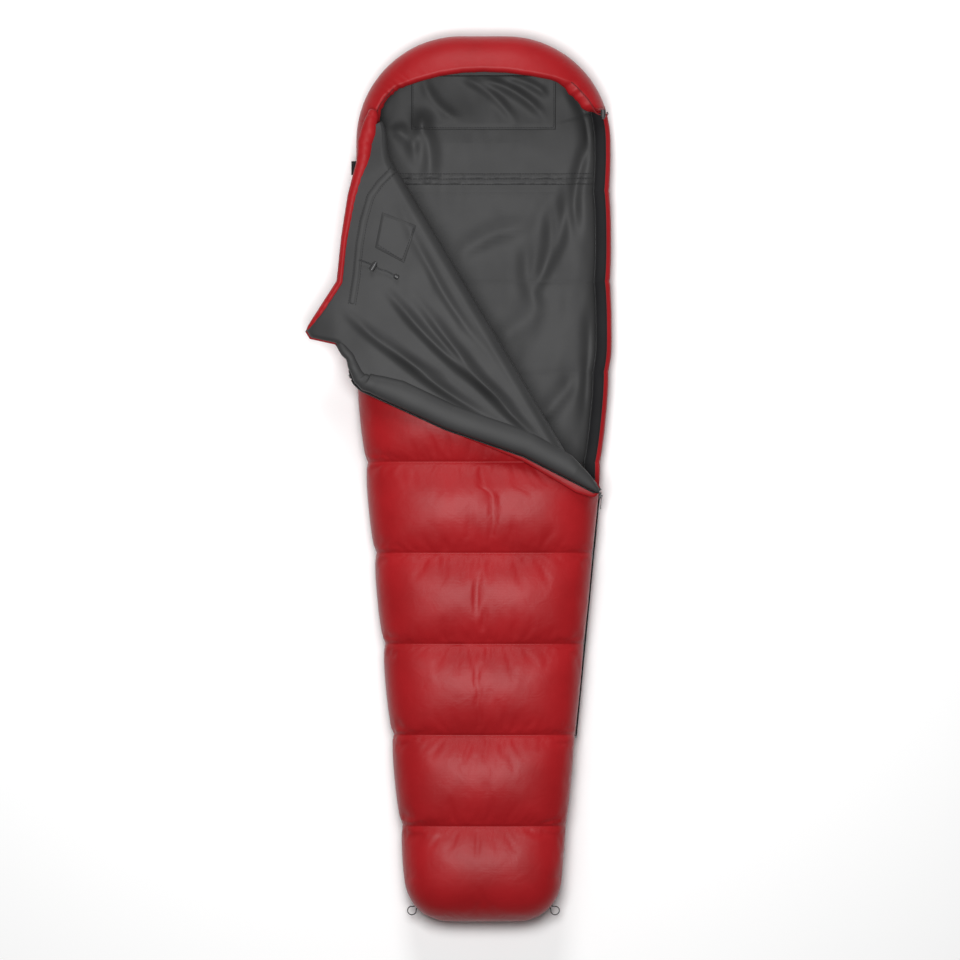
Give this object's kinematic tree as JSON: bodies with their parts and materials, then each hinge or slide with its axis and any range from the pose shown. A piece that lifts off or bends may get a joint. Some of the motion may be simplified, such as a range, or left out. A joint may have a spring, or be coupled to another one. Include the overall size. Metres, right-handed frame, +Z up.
{
  "type": "mummy sleeping bag",
  "caption": "Hooded mummy sleeping bag lying flat, quilted across into chambers, with a side zip and the upper flap folded open over the chest.",
  "frame": {"origin": "on the ground under the middle of the bag's length and width", "axes": "+Y towards the head, +X towards the zip side, +Z up"},
  "size_m": [0.7478, 2.15, 0.2435],
  "materials": {
    "shell_fabric": "satin",
    "insulation": "matte",
    "lining_fabric": "satin",
    "hem_fabric": "satin",
    "zip_tape": "matte",
    "zip_coil": "satin",
    "zip_metal": "satin",
    "drawcord": "matte",
    "loop_cord": "matte",
    "lock_plastic": "satin",
    "spring_steel": "polished",
    "label_fabric": "matte"
  },
  "bodies": {
    "bag": {"ground_shell": "shell_fabric", "ground_fill": "insulation", "ground_lining": "lining_fabric", "left_side_shell": "shell_fabric", "left_side_fill": "insulation", "left_side_lining": "lining_fabric", "right_side_shell": "shell_fabric", "right_side_fill": "insulation", "right_side_lining": "lining_fabric", "top_shell": "shell_fabric", "top_fill": "insulation", "top_lining": "lining_fabric", "foot_shell": "shell_fabric", "foot_fill": "insulation", "foot_lining": "lining_fabric", "hood_shell": "shell_fabric", "hood_fill": "insulation", "hood_lining": "lining_fabric", "brim_hem": "hem_fabric", "hood_drawcord": "drawcord", "hood_lock_body": "lock_plastic", "hood_lock_spring": "spring_steel", "neck_channel": "lining_fabric", "neck_cord": "drawcord", "pillow_pocket": "lining_fabric", "label_tab": "label_fabric", "foot_loop_left": "loop_cord", "foot_loop_right": "loop_cord", "zip_tape_lower": "zip_tape", "zip_coil_lower": "zip_coil", "zip_tape_upper": "zip_tape", "zip_coil_upper": "zip_coil", "zip_bottom_stop": "zip_coil", "zip_top_stop": "zip_coil", "draft_tube": "lining_fabric"},
    "flap": {"flap_shell": "shell_fabric", "flap_fill": "insulation", "flap_lining": "lining_fabric", "flap_draft_tube": "lining_fabric", "flap_zip_tape": "zip_tape", "flap_zip_coil": "zip_coil", "flap_top_stop": "zip_coil", "chin_hem": "hem_fabric", "flap_collar_channel": "lining_fabric", "stash_pocket": "lining_fabric", "collar_cord": "loop_cord", "collar_cord_stopper": "lock_plastic", "collar_lock_body": "lock_plastic", "collar_lock_spring": "spring_steel"},
    "slider": {"zip_slider": "zip_metal"},
    "pull_tab": {"zip_pull_tab": "zip_metal"},
    "hood_button": {"hood_lock_button": "lock_plastic"},
    "collar_button": {"collar_lock_button": "lock_plastic"}
  },
  "joints": [
    {"name": "flap_fold", "type": "hinge", "parent": "bag", "child": "flap", "pos_m": [0.28018, -0.032, 0.20025], "axis": [-0.5119, 0.859, 0], "range_deg": [0, 150]},
    {"name": "zip_slide", "type": "slide", "parent": "bag", "child": "slider", "axis": [-0.0957, -0.9954, 0], "range_m": [0, 0.56]},
    {"name": "pull_tab_swing", "type": "hinge", "parent": "slider", "child": "pull_tab", "pos_m": [0.28762, -0.04029, 0.08], "axis": [0, 0, 1], "range_deg": [0, 165]},
    {"name": "hood_lock_press", "type": "slide", "parent": "bag", "child": "hood_button", "axis": [0, 1, 0], "range_m": [0, 0.004], "stiffness_N_per_m": 400, "springref_m": -0.004, "deforming": ["hood_lock_spring"]},
    {"name": "collar_lock_press", "type": "slide", "parent": "flap", "child": "collar_button", "axis": [-0.507, -0.8619, 0], "range_m": [0, 0.004], "stiffness_N_per_m": 400, "springref_m": -0.004, "deforming": ["collar_lock_spring"]}
  ]
}
